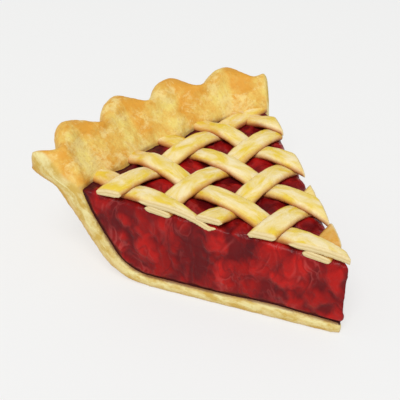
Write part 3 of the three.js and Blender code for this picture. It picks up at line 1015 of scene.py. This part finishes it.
def laid(bm, strip):
    for vert in bm.verts:
        side, along, high = vert.co
        side *= 1 + WIDTH_WAVER * noise.noise(Vector((along / 14, strip.seed, side / 20)))
        offset = strip.place + side
        offset += SIDE_WAVER * noise.noise(Vector((along / 22, strip.seed * 3, 0)))
        furthest = math.sqrt(max(TUCK_RADIUS**2 - offset**2, 0))
        along = min(max(along, -furthest), furthest)
        point = strip.way * along + strip.side * offset
        middle = strip.way * along + strip.side * strip.place
        height = strip.bottom(middle, along) + STRIP_THICKNESS / 2 + high
        vert.co = Vector((point.x, point.y, height))


def knife_cut(bm):
    for inward in (into_left, into_right):
        cut = bmesh.ops.bisect_plane(bm, geom=bm.verts[:] + bm.edges[:] + bm.faces[:],
                                     plane_co=inward * -CUT_PROUD, plane_no=-inward,
                                     clear_outer=True)
        edges = [item for item in cut["geom_cut"] if isinstance(item, bmesh.types.BMEdge)]
        if edges:
            bmesh.ops.edgeloop_fill(bm, edges=edges)


print(f"the strips run to {TUCK_RADIUS} mm from the pie's axis")

# %% [markdown]
# ## The strips: baked
# The oven browned the ends by the wall, the sides, and the short, thin strip at the tip most.
# Shade is painted too: darker orange on the sides and the low stretches, and paler crowns on the
# arches, as if lit. Each strip is cut, remeshed, marked and grained.

# %% Shape of the strips
STRIP_TOAST, ARCH_PAINTED_SHADING, SIDE_TOAST_AND_SHADE, TOAST_END, TOAST_TIP = 0.32, 0.3, 0.7, 0.35, 0.9
APART = 40  # millimetres of pattern between one strip's streaks and the next one's
TIP_STRIP = "cross_strip_5"


def strip_toast_and_shading(strip, point, along, across):
    # painted light: the arches are paler, as if lit, and the low stretches darker orange, as shaded
    toast_and_painted_shading = STRIP_TOAST - ARCH_PAINTED_SHADING * strip.lift(along) / STRIP_LIFT
    # more orange towards the sides: part browning, part painted shade on the rounded sides
    toast_and_painted_shading += SIDE_TOAST_AND_SHADE * ramp(across, 0.5, 0.98)
    toast_and_painted_shading += TOAST_PATCHES * grain(point, 11, strip.seed) + TOAST_END * ramp(from_axis(point), 85, 106)
    toast_and_painted_shading += TOAST_TIP if strip.name == TIP_STRIP else 0.0
    return min(max(toast_and_painted_shading, 0.0), 1.0)


def woven_strip(strip):
    bm = straight_ribbon(RIBBON_LENGTH)
    laid(bm, strip)
    knife_cut(bm)
    bm = remeshed(bm, voxel=0.45, smoothing=5)
    marks = new_marks(bm, STRIP_MARKS)
    for vert in bm.verts:
        point = vert.co
        across = abs(point.dot(strip.side) - strip.place) / (STRIP_WIDTH / 2)
        along = point.dot(strip.way)
        level = (point.z - strip.bottom(point, along)) / STRIP_THICKNESS
        cut = 1 - ramp(behind_cuts(point), 0.1, 0.7)
        vert[marks["cut"]] = cut
        # edge: a brown line low on the sides, part browning and part painted shadow where the strip
        # meets the filling
        vert[marks["edge"]] = ramp(across, 0.66, 0.96) * (1 - ramp(level, 0.35, 1.0))
        vert[marks["level"]] = level
        vert[marks["along"]] = (along + APART * strip.seed) * MM
        vert[marks["aside"]] = point.dot(strip.side) * MM
        vert[marks["toast_and_painted_shading"]] = strip_toast_and_shading(strip, point, along, across)
        size = 0.2 * grain(point, 7, strip.seed) + 0.08 * grain(point, 2.5, strip.seed + 9)
        vert.co = point + vert.normal * (size * (1 - cut))
    finished_piece("baked_" + strip.name, bm, baked_strip, strip.name)


for strip in strips:
    woven_strip(strip)

# %% [markdown]
# ## The floor
# The slice stands alone on a pale floor in a bright studio. The floor glows a little, which lifts
# the shadow as bounced light would. Far away it sweeps up like a studio's paper roll, so no view
# shows its edge.

# %% Floor
FLAT_RADIUS, SWEEP = 5.0, 0.06  # metres, and how fast it rises past them
FLOOR_GLOW = 0.65
floor_bm = bmesh.new()
bmesh.ops.create_grid(floor_bm, x_segments=60, y_segments=60, size=12)
for vert in floor_bm.verts:
    vert.co.z = SWEEP * max(vert.co.length - FLAT_RADIUS, 0) ** 2
for face in floor_bm.faces:
    face.smooth = True
floor = placed("floor", bpy.data.meshes.new("floor"))
floor_bm.to_mesh(floor.data)
floor_bm.free()
pale_floor, tree = new_tree("pale_studio_floor")
glow = add(tree, "ShaderNodeEmission", {"Color": colour("#f2f2f2"), "Strength": FLOOR_GLOW})
matt = add(tree, "ShaderNodeBsdfDiffuse", {"Color": (0.31, 0.31, 0.303, 1)})
both = add(tree, "ShaderNodeAddShader", {0: glow, 1: matt})
add(tree, "ShaderNodeOutputMaterial", {"Surface": both})
floor.data.materials.append(pale_floor)
floor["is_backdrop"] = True
print(f"the floor is flat for {FLAT_RADIUS} m round the slice")

# %% [markdown]
# ## The light
# A wide white dome does most of the work, as in a studio with white walls. One large soft lamp,
# high up behind the camera and a little to its left, gives the shapes a direction.

# %% Light
world = bpy.data.worlds.new("studio")
bpy.context.scene.world = world
world.use_nodes = True
world.node_tree.nodes.clear()
sky = add(world.node_tree, "ShaderNodeBackground", {"Color": (1, 1, 1, 1), "Strength": 0.47})
add(world.node_tree, "ShaderNodeOutputWorld", {"Surface": sky})
lamp = bpy.data.lights.new("soft_lamp", "AREA")
lamp.shape = "DISK"
lamp.size = 1.5
lamp.energy = 64
lamp_holder = placed("soft_lamp", lamp)
lamp_holder.location = (-1.35, -1.05, 2.55)
lamp_holder.rotation_euler = (-lamp_holder.location).to_track_quat("-Z", "Y").to_euler()
print(f"the lamp is {lamp_holder.location.length:.1f} m away")

# %% [markdown]
# ## The camera
# The camera looks down at the left cut, as a person who is about to eat the slice would. A lens a
# little longer than normal keeps it undistorted.

# %% Camera
camera = bpy.data.cameras.new("camera")
camera.lens = 68.85
camera.sensor_width = 36
camera_holder = placed("camera", camera)
camera_holder.location = tip + Vector((-177.1, -128.2, 200.5)) * MM
heading, dip = math.radians(49.8), math.radians(33.39)
camera_holder.rotation_euler = (math.pi / 2 - dip, 0, heading - math.pi / 2)
bpy.context.scene.camera = camera_holder
bpy.context.scene.view_settings.view_transform = "Standard"
print(f"the camera is {camera_holder.location.length / MM:.0f} mm from the slice's middle")

# %% [markdown]
# ## Sizes
# The last cell prints the box of the finished slice beside the box of the frame.

# %% Sizes
visual_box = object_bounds()
boxes = {"cad": [list(corner) for corner in cad_box],
         "visual": [list(corner) for corner in visual_box]}
for name, corners in boxes.items():
    print(name, [[round(value / MM, 1) for value in corner] for corner in corners])
